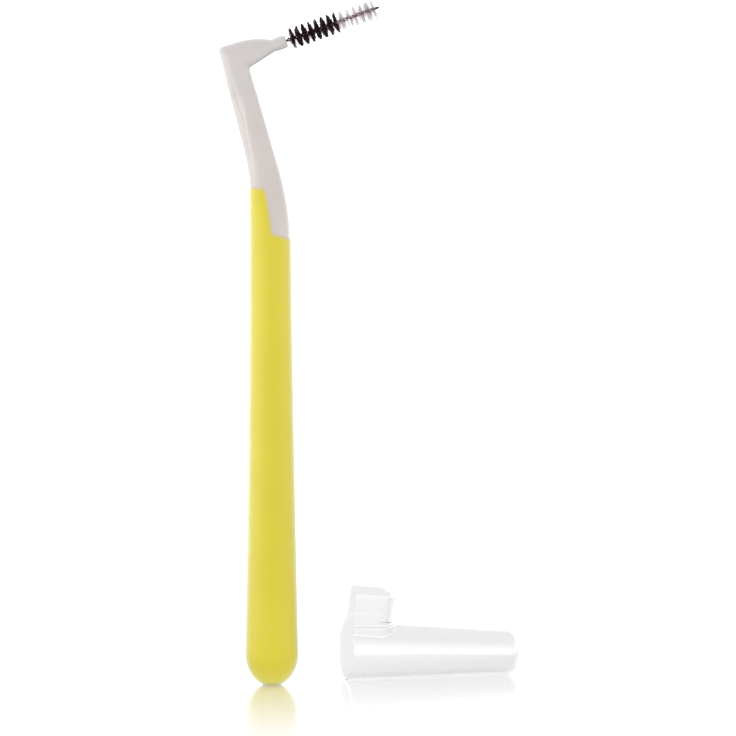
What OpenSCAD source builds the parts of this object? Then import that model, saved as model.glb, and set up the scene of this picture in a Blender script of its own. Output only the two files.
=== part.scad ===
// Angled interdental brush standing on its heel, with its cap lying beside it.
// Millimetres. The origin is the middle of the heel's flat, +Z is up, the arm points to +X
// and the brush is the same on both sides of the plane Y = 0.

/* [Grip] */
// Height of the grip's lip on the brush side
grip_front_h = 90; // [78:0.5:100]
// Further rise of the lip on the thumb side
grip_back_rise = 10.3; // [8:0.1:12.5]
// Breadth of the grip just above its heel
heel_w = 10.7; // [9:0.1:12.4]
// Depth of the grip just above its heel
heel_d = 9.4; // [8:0.1:11]
// Breadth of the grip at its top
waist_w = 8.3; // [7.2:0.1:9.6]
// Depth of the grip at its top
waist_d = 7; // [6:0.1:8.2]
// Height over which the heel rounds in
heel_round_h = 6.2; // [4.5:0.1:7.5]
// Half-breadth of the flat that the brush stands on
heel_flat_r = 1.7; // [1.2:0.1:2.2]
// Distance that the grip leans back at its top
grip_lean = 0.2; // [0.1:0.05:0.6]
// Wall of the soft grip over the core
grip_wall = 1.1; // [0.8:0.05:1.4]
// Height at which the core ends inside the heel
core_foot_h = 9; // [7:0.5:14]
// Step from the neck up to the grip at the lip
lip_step = 0.15; // [0.1:0.01:0.25]

/* [Neck] */
// Height of the inner corner of the elbow
elbow_h = 124.5; // [119:0.1:136]
// Lean of the neck's back edge
back_angle = 14; // [11:0.5:17]
// Lean of the neck's front edge
front_angle = 16.5; // [13:0.5:19]
// Height above the lip's front at which the back edge turns
back_bend_h = 13; // [10:0.5:15]
// Height above the lip's front at which the front edge turns
front_bend_h = 6.4; // [5.5:0.1:8.5]
// Half the length of the turn in the back edge
back_bend_run = 6; // [4:0.5:7]
// Half the length of the turn in the front edge
front_bend_run = 7.5; // [5:0.5:9]
// Depth of the neck and the elbow
neck_d = 4.3; // [3.6:0.1:4.6]

/* [Elbow and arm] */
// Radius of the elbow's inner corner
inner_r = 0.6; // [0.4:0.1:1]
// Distance from the inner corner to the elbow's top edge
elbow_top = 6.2; // [5.5:0.1:6.9]
// Slope of the elbow's top edge
top_angle = 17; // [13:1:21]
// Slope of the wire above the level
wire_angle = 20; // [14:1:26]
// Distance from the inner corner to the nose, along the wire
arm_reach = 8.2; // [7:0.1:10.5]
// Distance of the wire's axis above the inner corner
arm_lift = 3.05; // [2.7:0.05:3.4]
// Radius of the nose
nose_r = 1.38; // [1.2:0.01:1.6]
// Length of the nose
nose_len = 2.8; // [2:0.1:3.4]
// Distance by which the nose draws in at its end
nose_draw = 0.4; // [0.2:0.01:0.5]
// Length over which the nose draws in
nose_round_len = 1; // [0.6:0.1:1.4]
// Step from the arm up to the nose
nose_step = 0.12; // [0.05:0.01:0.2]

/* [Brush] */
// Length of the wire in front of the nose
wire_len = 19.6; // [15:0.1:24]
// Diameter of the wire, before it is folded and twisted
strand_d = 0.33; // [0.25:0.01:0.4]
// Length of one full turn of the twist
twist_pitch = 2.64; // [2.2:0.01:3.2]
// Room that the filaments take between the two strands
filament_gap = 0.1; // [0.08:0.01:0.14]
// Length of the wire's tail inside the arm
wire_tail = 7.5; // [5:0.1:8.5]
// Diameter of the ring of bristles
brush_d = 4.5; // [3.6:0.1:5.4]
// Length of the wire that stays bare at the nose
bare_root = 0.5; // [0.3:0.1:1]
// Length of the black bristles
black_len = 10.3; // [7:0.1:12.5]
// Length of the wire that stays bare at the tip
bare_tip = 0.5; // [0.4:0.1:1]
// Radius of the fold at the tip of the wire
tip_r = 0.44; // [0.38:0.01:0.55]
// Breadth of a bristle at its end
bristle_end = 0.07; // [0.05:0.01:0.09]

/* [Cap] */
// Radius of the cap at its mouth
cap_mouth_r = 6.2; // [5.8:0.1:7]
// Radius of the cap at its closed end
cap_end_r = 4.5; // [4:0.1:5.2]
// Length of the cap
cap_len = 35.2; // [32:0.1:40]
// Wall of the cap
cap_wall = 0.6; // [0.45:0.05:0.8]
// Radius that rounds the closed end
cap_corner_r = 1.5; // [1:0.1:2]
// Length of the straight land inside the mouth
cap_land = 3; // [2:0.1:4]
// Breadth of the channel that the neck leaves through
channel_w = 4.9; // [4.8:0.1:5.6]
// Length of the channel along the cap
channel_len = 8; // [7:0.1:9.5]
// Height of the collar round the channel, from the axis of the cap
collar_h = 13.2; // [11:0.1:15]
// Radius that rounds the collar's back corner
collar_corner_r = 2; // [1.2:0.1:2.8]
// Slope of the collar's top edge
collar_slope = 3; // [0:0.5:5]
// Breadth of the foot that joins the collar to the cap
foot_w = 0.85; // [0.5:0.05:1.2]
// Height of the foot above the side of the cap
foot_h = 0.15; // [0.1:0.05:0.4]

/* [Where the cap lies] */
// Distance from the grip's side to the middle of the cap's mouth
cap_side = 9.6; // [9:0.1:30]
// Distance of the cap's mouth behind the grip's middle
cap_back = 5.6; // [0:0.1:15]
// Turn of the cap on the table
cap_yaw = 15; // [0:1:40]
// Roll of the cap towards the front
cap_roll = 15; // [0:1:30]

/* [Fits] */
// Gap left at the bond between grip and core
bond_gap = 0.03; // [0.02:0.01:0.05]
// Gap round the wire's tail in the arm
tail_gap = 0.05; // [0.03:0.01:0.08]
// Gap between the filaments' root and each strand
root_gap = 0.02; // [0.01:0.005:0.03]

/* [Hidden] */

// Columns round a section, and how much closer they stand at the sides than at the edges
columns = 48;
crowding_share = 0.55;
// Roundness of a section: 2 is an ellipse, and more is squarer
grip_power = 2.25;
neck_power = 3.4;
nose_power = 2;
// Rings along each stretch
heel_rings = 7;
shaft_rings = 12;
lip_rings = 5;
core_rings = 6;
neck_rings = 9;
elbow_rings = 16;
arm_rings = 7;
nose_rings = 4;
// How soon the grip thins above its heel
thin_power = 1.45;
// Where the lip starts and ends its fall, as shares of the half-breadth, and how it falls there
lip_start_share = -0.17;
lip_end_share = 0.12;
lip_front_share = 0.14;
lip_level_share = -0.1;
// Height at which the depth reaches the neck's, as a share of the neck's height
slim_share = 0.62;
// How sharp the elbow's outer corner is
corner_power = 14;
// Where the crown of the arm's top edge lies, as a share of the arm's length
crown_share = 0.4;
// Twist of the wire
strand_sides = 8;
slices_a_turn = 14;
// Bristles a turn, and the share of the tip radius by which their ends differ
bristles_a_turn = 26;
trim_share = 0.04;
smooth = 96;
overrun = 0.5;

// Frame of the brush
neck_z = elbow_h - grip_front_h;
lip_top_h = grip_front_h + grip_back_rise;
heel_oval_h = heel_round_h / sqrt(1 - pow(2 * heel_flat_r / heel_w, 2));

function mix(a, b, t) = a + (b - a) * t;
function ease(t) = t <= 0 ? 0 : t >= 1 ? 1 : t * t * (3 - 2 * t);
// A level line that turns into a slope of 1, with a round stretch of half-length r
function turn(s, r) = s <= -r ? 0 : s >= r ? s : pow(s + r, 2) / (4 * r);

// How far up the grip a height lies, from the heel's round to the front of the lip
function climb(z) = min(1, max(0, (z - heel_round_h) / (grip_front_h - heel_round_h)));
function heel_in(z) =
    z >= heel_round_h ? 1 : sqrt(1 - pow((heel_round_h - z) / heel_oval_h, 2));
function swell(z, low, top) = mix(top, low, pow(1 - climb(z), thin_power)) * heel_in(z);

// Edges of the brush's profile at a height, below the elbow
function middle_x(z) = -grip_lean * pow(climb(z), 2);
function back_x(z) = middle_x(z) - swell(z, heel_w, waist_w) / 2
    - tan(back_angle) * turn(z - grip_front_h - back_bend_h, back_bend_run);
function front_x(z) = middle_x(z) + swell(z, heel_w, waist_w) / 2
    - tan(front_angle) * turn(z - grip_front_h - front_bend_h, front_bend_run);
function slimming(z) = ease((z - grip_front_h) / (slim_share * neck_z));
function half_depth(z) = mix(swell(z, heel_d, waist_d), neck_d, slimming(z)) / 2;
function roundness(z) = mix(grip_power, neck_power, slimming(z));

// Directions in the profile's plane, as [x, z]. An angle of 0 points back and 90 points up
function toward(a) = [-cos(a), sin(a)];
function forward(a) = [cos(a), sin(a)];

// The elbow turns about a pivot just outside its inner corner
pivot_h = elbow_h - inner_r;
pivot = [front_x(pivot_h) + inner_r / cos(front_angle), pivot_h];
back_reach = (pivot[0] - back_x(pivot_h)) * cos(back_angle);
function elbow_edge(a) = pow(
    pow(max(0, cos(a + back_angle)) / back_reach, corner_power)
        + pow(max(0, cos(a - 90 + top_angle)) / elbow_top, corner_power),
    -1 / corner_power);
across = 90 - wire_angle;
nose = pivot + arm_reach * forward(wire_angle) + arm_lift * toward(across);
nose_back = nose - nose_len * forward(wire_angle);
arm_end_r = nose_r - nose_step;

// A station is [outer point, inner point, half-depth, roundness]
function level(z) = [[back_x(z), z], [front_x(z), z], half_depth(z), roundness(z)];
function elbow_station(t) =
    let (a = mix(-front_angle, across - top_angle / 2, t))
    [pivot + elbow_edge(a) * toward(a), pivot + inner_r * toward(a), neck_d / 2, neck_power];
last_bend = elbow_station(1);
function bow(a, b, c, t) = mix(mix(a, b, t), mix(b, c, t), t);
arm_crown = last_bend[0] + crown_share * arm_reach * forward(top_angle);
function arm_station(t) = [
    bow(last_bend[0], arm_crown, nose_back + arm_end_r * toward(across), t),
    mix(last_bend[1], nose_back - arm_end_r * toward(across), t),
    mix(neck_d / 2, arm_end_r, ease(t)),
    mix(neck_power, nose_power, ease(t))];
function round_station(s, r) =
    let (c = nose - s * forward(wire_angle))
    [c + r * toward(across), c - r * toward(across), r, nose_power];
nose_stations = concat(
    [round_station(nose_len - nose_step, nose_r), round_station((nose_len + nose_round_len) / 2, nose_r)],
    [for (k = [0:nose_rings])
        round_station(nose_round_len * (1 - sin(90 * k / nose_rings)),
            nose_r - nose_draw * (1 - cos(90 * k / nose_rings)))]);

// Column angles, closer together where the lip falls steeply
function column_angle(j) =
    let (t = 2 * j / columns, s = t > 1 ? t - 1 : t)
    (t > 1 ? 180 : 0) + 180 * s + crowding_share * 90 / PI * sin(360 * s);
function radius_at(a, power) =
    pow(pow(abs(cos(a)), power) + pow(abs(sin(a)), power), -1 / power);
// A point of a station's section, drawn in by some distance on every side
function section_point(s, a, inset) =
    let (
        r = radius_at(a, s[3]),
        c = (s[0] + s[1]) / 2,
        h = (s[1] - s[0]) / 2,
        k = (norm(h) - inset) / norm(h) * r * cos(a)
    )
    [c[0] + k * h[0], (s[2] - inset) * r * sin(a), c[1] + k * h[1]];
function ring(s, inset) =
    [for (j = [0:columns - 1]) section_point(s, column_angle(j), inset)];

// Height of the lip at a column: level at the back, a steep fall at the side, a gentle slope in front
function lip_z(a) =
    let (
        u = radius_at(a, grip_power) * cos(a),
        fall = ease((lip_end_share - u) / (lip_end_share - lip_start_share)),
        front = lip_front_share * (1 - max(u, lip_level_share)),
        top = lip_front_share * (1 - lip_level_share)
    )
    grip_front_h + grip_back_rise * (front + (1 - top) * fall);
// A ring that lies between a level one and the lip
function slanted_ring(z, t, inset, drop) = [
    for (j = [0:columns - 1])
    let (a = column_angle(j))
    section_point(level(mix(z, lip_z(a) - drop, t)), a, inset)];

// Skin over rings of the same number of points, closed at both ends
module skin(rings) {
    n = len(rings[0]);
    last = len(rings) - 1;
    bottom = [for (j = [0:n - 1]) j];
    top = [for (j = [n - 1:-1:0]) last * n + j];
    sides = [
        for (k = [0:last - 1])
        for (j = [0:n - 1])
        let (i = (j + 1) % n)
        for (f = [
            [k * n + j, (k + 1) * n + j, (k + 1) * n + i],
            [k * n + j, (k + 1) * n + i, k * n + i]
        ]) f];
    polyhedron([for (r = rings) for (p = r) p], concat([bottom], sides, [top]));
}

module wire_frame() {
    translate([nose[0], 0, nose[1]])
        rotate([0, across, 0])
            children();
}

// White moulding: core in the grip, leaning neck, elbow and arm, with a hole for the wire
module neck_and_core() {
    core_in = grip_wall + bond_gap;
    core_top_h = grip_front_h - lip_step;
    neck_foot_h = lip_top_h + lip_step;
    rings = concat(
        [for (k = [0:core_rings]) ring(level(mix(core_foot_h, core_top_h, k / core_rings)), core_in)],
        [for (k = [1:lip_rings]) slanted_ring(core_top_h, k / lip_rings, core_in, -bond_gap)],
        [for (k = [lip_rings:-1:0]) slanted_ring(neck_foot_h, k / lip_rings, lip_step, -bond_gap)],
        [for (k = [1:neck_rings])
            ring(level(mix(neck_foot_h, pivot_h - neck_d, k / neck_rings)),
                lip_step * (1 - k / neck_rings))],
        [for (k = [0:elbow_rings]) ring(elbow_station(k / elbow_rings), 0)],
        [for (k = [1:arm_rings]) ring(arm_station(k / arm_rings), 0)],
        [for (s = nose_stations) ring(s, 0)]);
    color("whitesmoke")
        difference() {
            skin(rings);
            wire_frame()
                translate([0, 0, -wire_tail - tail_gap])
                    cylinder(r = wire_r + tail_gap, h = wire_tail + tail_gap + overrun, $fn = smooth);
        }
}

// Soft yellow sleeve over the core, closed at the heel and scooped at its lip
module grip() {
    inside_h = core_foot_h - bond_gap;
    shaft_top_h = grip_front_h - lip_step;
    rings = concat(
        [for (k = [0:heel_rings]) ring(level(heel_round_h * (1 - cos(90 * k / heel_rings))), 0)],
        [for (k = [1:shaft_rings]) ring(level(mix(heel_round_h, shaft_top_h, k / shaft_rings)), 0)],
        [for (k = [1:lip_rings]) slanted_ring(shaft_top_h, k / lip_rings, 0, 0)],
        [for (k = [lip_rings:-1:0]) slanted_ring(shaft_top_h, k / lip_rings, grip_wall, 0)],
        [for (k = [core_rings - 1:-1:0])
            ring(level(mix(inside_h, shaft_top_h, k / core_rings)), grip_wall)]);
    color("khaki")
        skin(rings);
}

// The two strands of one folded wire, twisted round each other and fused at the fold
wire_r = strand_d + filament_gap / 2;
module wire() {
    run = wire_len - tip_r;
    color("dimgray")
        wire_frame() {
            linear_extrude(
                height = run,
                twist = -360 * run / twist_pitch,
                slices = round(slices_a_turn * run / twist_pitch))
                for (side = [-1, 1])
                    translate([0, side * (strand_d + filament_gap) / 2])
                        circle(d = strand_d, $fn = strand_sides);
            translate([0, 0, -wire_tail])
                cylinder(r = wire_r, h = wire_tail + tail_gap, $fn = smooth);
            translate([0, 0, wire_len - tip_r])
                sphere(r = tip_r, $fn = smooth);
        }
}

// Bristles grow from both edges of a thin twisted ribbon that lies between the strands
ribbon_half = filament_gap / 2 - root_gap;
bristle_step = twist_pitch / bristles_a_turn;
function trim(k) = 1 - trim_share * (1 + sin(k * 137.5)) / 2;
function twisted(along, out, aside, z) =
    let (a = 360 * z / twist_pitch + along)
    [out * cos(a) - aside * sin(a), out * sin(a) + aside * cos(a), z];
// Corners of the ribbon at height z: two on one edge, then two on the other
function ribbon_corners(z) = [
    for (side = [0, 180])
    for (edge = [-1, 1])
    twisted(side, strand_d / 2, edge * ribbon_half, z)];
// End of a bristle whose root lies between z and the next step
function bristle_tip(z, side, k) = [
    for (c = [[-1, -1], [1, -1], [1, 1], [-1, 1]])
    let (
        mid = z + bristle_step / 2,
        p = twisted(side, trim(k) * brush_d / 2, c[0] * bristle_end / 2, mid),
        lift = c[1] * bristle_end / 2
    )
    p + [0, 0, lift]];
module bristles(from, length) {
    count = floor(length / bristle_step);
    corners = [for (i = [0:count]) for (p = ribbon_corners(from + i * bristle_step)) p];
    tips = [
        for (i = [0:count - 1])
        for (side = [0, 1])
        for (p = bristle_tip(from + i * bristle_step, 180 * side, 2 * i + side)) p];
    base = 4 * (count + 1);
    quads = concat(
        [[3, 2, 1, 0], [4 * count, 4 * count + 1, 4 * count + 2, 4 * count + 3]],
        [for (i = [0:count - 1]) for (w = [[1, 2], [3, 0]])
            [4 * i + w[0], 4 * i + w[1], 4 * i + 4 + w[1], 4 * i + 4 + w[0]]],
        [for (i = [0:count - 1]) for (side = [0, 1])
            let (
                r = 4 * i + 2 * side,
                t = base + 8 * i + 4 * side,
                root = [r, r + 1, r + 5, r + 4]
            )
            for (q = concat(
                [[t, t + 1, t + 2, t + 3]],
                [for (e = [0:3]) [root[e], root[(e + 1) % 4], t + (e + 1) % 4, t + e]]
            )) q]);
    triangles = [for (q = quads) for (f = [[q[0], q[2], q[1]], [q[0], q[3], q[2]]]) f];
    wire_frame()
        polyhedron(concat(corners, tips), triangles);
}
module black_bristles() {
    color("black")
        bristles(bare_root, black_len);
}
module clear_bristles() {
    color("gainsboro")
        bristles(bare_root + black_len, wire_len - bare_root - black_len - bare_tip - tip_r);
}

// Cap, drawn with its mouth at zero and its axis along Z, then laid on the table
cap_taper = (cap_mouth_r - cap_end_r) / (cap_len - cap_corner_r);
cap_tilt = atan(cap_taper);
function cap_side_r(z) = cap_mouth_r - cap_taper * z;
function quarter(x, z, r) = [for (a = [0:10:90]) [x + r * cos(a), z + r * sin(a)]];
module cap_outside() {
    rotate_extrude($fn = smooth)
        polygon(concat(
            [[0, 0], [cap_mouth_r, 0]],
            quarter(cap_end_r - cap_corner_r, cap_len - cap_corner_r, cap_corner_r),
            [[0, cap_len]]));
}
module cap_inside() {
    bore_r = cap_mouth_r - cap_wall;
    round_r = cap_corner_r - cap_wall / 2;
    end_r = cap_end_r - cap_wall;
    rotate_extrude($fn = smooth)
        polygon(concat(
            [[0, -overrun], [bore_r, -overrun], [bore_r, cap_land],
                [cap_side_r(cap_land) - cap_wall, cap_land]],
            quarter(end_r - round_r, cap_len - cap_wall - round_r, round_r),
            [[0, cap_len - cap_wall]]));
}
// Outline of the channel seen from above, grown by some distance and starting ahead of the mouth
module channel_plan(grow, ahead) {
    half = channel_w / 2;
    union() {
        translate([-ahead, -half - grow])
            square([channel_len - half + ahead, channel_w + 2 * grow]);
        translate([channel_len - half, 0])
            circle(r = half + grow, $fn = smooth);
    }
}
module upright(h) {
    rotate([0, 0, 180])
        rotate([0, -90, 0])
            linear_extrude(height = h)
                children();
}
// Side view of the collar: a sloping top edge with a round back corner
module collar_profile() {
    back = channel_len + cap_wall;
    top = collar_h - back * tan(collar_slope);
    arc = quarter(top - collar_corner_r, back - collar_corner_r, collar_corner_r);
    rotate([-90, 0, 0])
        translate([0, 0, -cap_mouth_r])
            linear_extrude(height = 2 * cap_mouth_r)
                polygon(concat([[0, 0], [collar_h, 0]], [for (p = arc) [p[0], -p[1]]], [[0, -back]]));
}
module cap_shape() {
    difference() {
        union() {
            cap_outside();
            intersection() {
                upright(collar_h)
                    channel_plan(cap_wall, 0);
                collar_profile();
            }
            upright(cap_mouth_r + foot_h)
                channel_plan(cap_wall + foot_w, 0);
        }
        cap_inside();
        upright(collar_h + overrun)
            channel_plan(0, overrun);
    }
}
module cap() {
    color("aliceblue", 0.5)
        translate([heel_w / 2 + cap_side, cap_back, cap_mouth_r * cos(cap_tilt)])
            rotate([0, 0, cap_yaw])
                rotate([0, 90 + cap_tilt, 0])
                    rotate([0, 0, 180 + cap_roll])
                        cap_shape();
}

neck_and_core();
grip();
wire();
black_bristles();
clear_bristles();
cap();
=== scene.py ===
"""Angled interdental brush, standing on its heel, with its clear cap lying beside it.

Every piece is worked out in metres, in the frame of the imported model: the origin is the
middle of the heel's flat, +Z is up and the arm points to +X.
"""

import math

import bmesh
import bpy
import numpy as np
from bpy.props import FloatProperty, FloatVectorProperty, IntProperty, PointerProperty
from bpy.types import NodeSocket, Operator, Panel, PropertyGroup
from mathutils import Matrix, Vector


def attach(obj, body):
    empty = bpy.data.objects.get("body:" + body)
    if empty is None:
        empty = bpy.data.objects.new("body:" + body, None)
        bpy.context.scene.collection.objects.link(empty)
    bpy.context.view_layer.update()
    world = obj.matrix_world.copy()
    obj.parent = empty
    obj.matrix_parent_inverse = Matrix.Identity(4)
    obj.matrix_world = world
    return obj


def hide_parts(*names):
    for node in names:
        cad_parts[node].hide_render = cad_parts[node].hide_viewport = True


bl_info = {
    "name": "Interdental brush",
    "version": (1, 0, 0),
    "blender": (4, 5, 0),
    "location": "3D View > Sidebar > Brush",
    "description": "Builds an angled interdental brush and its cap, piece by piece",
    "category": "Add Mesh",
}

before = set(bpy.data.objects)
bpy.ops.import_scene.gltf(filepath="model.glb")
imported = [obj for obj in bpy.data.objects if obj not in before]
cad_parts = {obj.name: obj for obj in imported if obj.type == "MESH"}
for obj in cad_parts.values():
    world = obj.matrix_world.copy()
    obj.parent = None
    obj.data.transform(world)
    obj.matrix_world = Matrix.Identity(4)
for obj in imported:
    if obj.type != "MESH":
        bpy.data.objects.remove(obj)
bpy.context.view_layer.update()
MM = 0.001


# Sizes and finishes


def length(name, description, mm):
    """A size in metres, with its default given in millimetres."""
    return FloatProperty(name=name, description=description, default=mm * MM, min=0.0,
                         precision=5, unit="LENGTH")


def slope(name, description, degrees):
    """An angle in radians, with its default given in degrees."""
    return FloatProperty(name=name, description=description, default=math.radians(degrees),
                         unit="ROTATION")


def share(name, description, value):
    return FloatProperty(name=name, description=description, default=value, precision=3)


def count(name, description, value):
    return IntProperty(name=name, description=description, default=value, min=1)


def colour(name, description, rgb):
    return FloatVectorProperty(name=name, description=description, default=rgb, size=3,
                               min=0.0, max=1.0, subtype="COLOR")


class HandleSizes(PropertyGroup):
    """Sizes of the grip, the neck, the elbow and the arm."""

    grip_front: length("Lip height in front", "Height of the grip's lip on the brush side", 90.0)
    grip_rise: length("Lip rise", "Further rise of the lip on the thumb side", 10.3)
    heel_w: length("Heel breadth", "Breadth of the grip just above its heel", 10.7)
    heel_d: length("Heel depth", "Depth of the grip just above its heel", 9.4)
    waist_w: length("Waist breadth", "Breadth of the grip at its top", 8.3)
    waist_d: length("Waist depth", "Depth of the grip at its top", 7.0)
    heel_round: length("Heel round", "Height over which the heel rounds in", 6.2)
    heel_flat: length("Heel flat", "Half-breadth of the flat that the brush stands on", 1.7)
    grip_lean: length("Grip lean", "Distance that the grip leans back at its top", 0.2)
    grip_wall: length("Grip wall", "Wall of the soft grip over the core", 1.1)
    core_foot: length("Core foot", "Height at which the core ends inside the heel", 9.0)
    lip_step: length("Lip step", "Step from the neck up to the grip at the lip", 0.15)
    lip_round: length("Lip round", "Radius that rounds the edge of the lip", 0.12)
    thin_lip: length("Thin lip", "Distance over which the lip thins and shows the white", 0.6)
    flash: length("Flash", "Distance over which a soft film fades above the lip", 0.35)
    bond_gap: length("Bond gap", "Gap left at the bond between grip and core", 0.03)
    elbow: length("Elbow height", "Height of the inner corner of the elbow", 124.5)
    back_angle: slope("Back lean", "Lean of the neck's back edge", 14)
    front_angle: slope("Front lean", "Lean of the neck's front edge", 16.5)
    back_bend: length("Back bend", "Height above the lip at which the back edge turns", 13.0)
    front_bend: length("Front bend", "Height above the lip at which the front edge turns", 6.4)
    back_run: length("Back run", "Half the length of the turn in the back edge", 6.0)
    front_run: length("Front run", "Half the length of the turn in the front edge", 7.5)
    neck_d: length("Neck depth", "Depth of the neck and the elbow", 4.3)
    inner_r: length("Inner corner", "Radius of the elbow's inner corner", 0.6)
    elbow_top: length("Elbow top", "Distance from the inner corner to the top edge", 6.2)
    top_angle: slope("Top slope", "Slope of the elbow's top edge", 17)
    wire_angle: slope("Wire slope", "Slope of the wire above the level", 20)
    arm_reach: length("Arm reach", "Distance from the inner corner to the nose", 8.2)
    arm_lift: length("Arm lift", "Distance of the wire's axis above the inner corner", 3.05)
    nose_r: length("Nose radius", "Radius of the nose", 1.38)
    nose_len: length("Nose length", "Length of the nose", 2.8)
    nose_draw: length("Nose draw", "Distance by which the nose draws in at its end", 0.4)
    nose_round: length("Nose round", "Length over which the nose draws in", 1.0)
    nose_step: length("Nose step", "Step from the arm up to the nose", 0.12)
    grip_power: share("Grip roundness", "2 is an ellipse, and more is squarer", 2.25)
    neck_power: share("Neck roundness", "2 is an ellipse, and more is squarer", 3.4)
    facet_w: length("Facet breadth", "Breadth of the chamfer down the back of the neck", 2.2)
    facet_angle: slope("Facet turn", "Turn of the chamfer from the neck's side", 30)
    crease_back: length("Crease place", "Distance of the crease from the back edge", 1.6)
    crease_w: length("Crease breadth", "Breadth of the crease beside the chamfer", 0.5)
    crease_d: length("Crease depth", "Depth of the crease beside the chamfer", 0.08)


class BrushSizes(PropertyGroup):
    """Sizes of the wire and the bristles."""

    wire_len: length("Wire length", "Length of the wire in front of the nose", 19.6)
    strand_d: length("Strand", "Diameter of the wire before it is folded and twisted", 0.33)
    pitch: length("Pitch", "Length of one full turn of the twist", 2.64)
    gap: length("Filament gap", "Room that the filaments take between the strands", 0.1)
    tail: length("Tail", "Length of the wire's tail inside the arm", 7.5)
    tail_gap: length("Tail gap", "Gap round the wire's tail in the arm", 0.05)
    brush_d: length("Brush diameter", "Diameter of the ring of bristles", 4.5)
    bare_root: length("Bare root", "Length of the wire that stays bare at the nose", 0.5)
    black_len: length("Black length", "Length of the black bristles", 10.3)
    fade: length("Fade", "Length over which the wire's dark part ends", 0.8)
    bare_tip: length("Bare tip", "Length of the wire that stays bare at the tip", 0.5)
    tip_r: length("Fold", "Radius of the fold at the tip of the wire", 0.42)
    black_d: length("Black filament", "Thickness of one black bristle", 0.062)
    clear_d: length("Clear filament", "Thickness of one clear bristle", 0.15)
    black_turn: count("Black bristles a turn", "Most in one turn of the twist, on one side", 330)
    clear_turn: count("Clear bristles a turn", "Most in one turn of the twist, on one side", 84)
    seed: count("Seed", "Start of the random trim", 5)


class CapSizes(PropertyGroup):
    """Sizes of the cap, and where it lies."""

    mouth_r: length("Mouth radius", "Radius of the cap at its mouth", 6.2)
    end_r: length("End radius", "Radius of the cap at its closed end", 4.5)
    cap_len: length("Length", "Length of the cap", 35.2)
    wall: length("Wall", "Wall of the cap", 0.6)
    corner_r: length("End round", "Radius that rounds the closed end", 1.5)
    land: length("Land", "Length of the straight land inside the mouth", 3.0)
    channel_w: length("Channel breadth", "Breadth of the channel for the neck", 4.9)
    channel_len: length("Channel length", "Length of the channel along the cap", 8.0)
    collar_h: length("Collar height", "Height of the collar from the axis of the cap", 13.2)
    collar_r: length("Collar round", "Radius that rounds the collar's back corner", 2.0)
    collar_slope: slope("Collar slope", "Slope of the collar's top edge", 3)
    foot_w: length("Foot breadth", "Breadth of the foot that joins the collar to the cap", 0.85)
    foot_h: length("Foot height", "Height of the foot above the side of the cap", 0.15)
    fillet: length("Fillet", "Radius that rounds the corners of the foot", 0.22)
    side: length("Side", "Distance from the heel's side to the middle of the mouth", 9.6)
    back: length("Back", "Distance of the mouth behind the grip's middle", 5.6)
    yaw: slope("Turn", "Turn of the cap on the table", 15)
    roll: slope("Roll", "Roll of the cap towards the front", 15)


class Finishes(PropertyGroup):
    """Colours of the materials, and the light."""

    white: colour("White plastic", "Neck and core", (0.466, 0.416, 0.39))
    # painted light: a cooler tint on the elbow and arm that stands in for cool light from above
    white_cool_light_head: colour("White at the head", "Elbow and arm", (0.45, 0.427, 0.426))
    yellow: colour("Yellow grip", "Soft grip", (0.54, 0.458, 0.001))
    wire: colour("Bare wire", "Wire among the clear bristles", (0.17, 0.11, 0.115))
    # painted shade: the wire is darkened where it runs among the black bristles and lies in their
    # shade
    wire_painted_shade: colour("Dark wire", "Wire among the black bristles", (0.014, 0.004, 0.007))
    black: colour("Black filament", "Black bristles at the wire", (0.045, 0.009, 0.02))
    black_tip: colour("Black filament's tip", "Their outer ends", (0.026, 0.018, 0.021))
    clear: colour("Clear filament", "Clear bristles at the wire", (0.86, 0.74, 0.77))
    clear_tip: colour("Clear filament's tip", "Their outer ends", (0.66, 0.65, 0.65))
    cap: colour("Clear plastic", "Cap", (0.778, 0.78, 0.784))
    # painted reflection: a paler copy of the cap's colour, which only the floor's mirror sees
    cap_painted_pale_reflection: colour("Mirrored cap", "Cap as the floor mirrors it", (0.88, 0.882, 0.884))
    left_lamp: share("Left lamp", "Brightness of the soft lamp on the left", 0.3)
    front_lamp: share("Front lamp", "Brightness of the soft lamp in front", 1.75)
    room_front: share("Room in front", "Light from the camera's side", 0.48)
    room_back: share("Room behind", "Light from behind", 1.25)
    room_top: share("Room above", "Further light from above", 1.0)
    gloss_front: share("Gloss in front", "Light that gloss sees on the camera's side", 1.15)
    gloss_back: share("Gloss behind", "Light that gloss sees behind", 1.2)
    gloss_low: share("Gloss low down", "Further light that gloss sees at the horizon", 1.2)
    gloss_left: share("Gloss left", "Further light that gloss sees on the left", 1.5)
    floor_light: share("Floor's light", "Light that the floor sends up", 0.9)
    floor_close: share("Close floor's light", "Light that it sends up at the heel", 1.42)
    floor_left: share("Left floor in gloss", "Further light that gloss sees there", 3.2)
    floor_right: share("Right floor in gloss", "Further light that gloss sees there", 1.6)
    floor_far: share("Far floor in gloss", "What gloss sees of the floor in front", 2.35)
    floor_near: share("Near floor in gloss", "What gloss sees of it at the object", 1.0)
    shadow: share("Shadow", "Share of the near floor that takes the shadow", 0.3)
    mirror: share("Mirror", "Share of the near floor that mirrors the object", 0.71)


# Curves and sections


def mix(a, b, t):
    return a + (b - a) * t


def ease(t):
    """Smooth step: level at 0 and at 1."""
    t = np.clip(t, 0, 1)
    return t * t * (3 - 2 * t)


def through(t, places, values):
    """Smooth line through values at given places: a cubic between each two, with mean slopes."""
    places, values = np.asarray(places, float), np.asarray(values, float)
    slope_at = np.gradient(values, places)
    i = np.clip(np.searchsorted(places, t) - 1, 0, len(places) - 2)
    gap = places[i + 1] - places[i]
    u = np.clip((t - places[i]) / gap, 0, 1)
    return (values[i] * (1 - u) ** 2 * (1 + 2 * u) + values[i + 1] * u ** 2 * (3 - 2 * u)
            + gap * (slope_at[i] * u * (1 - u) ** 2 - slope_at[i + 1] * u ** 2 * (1 - u)))


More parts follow.
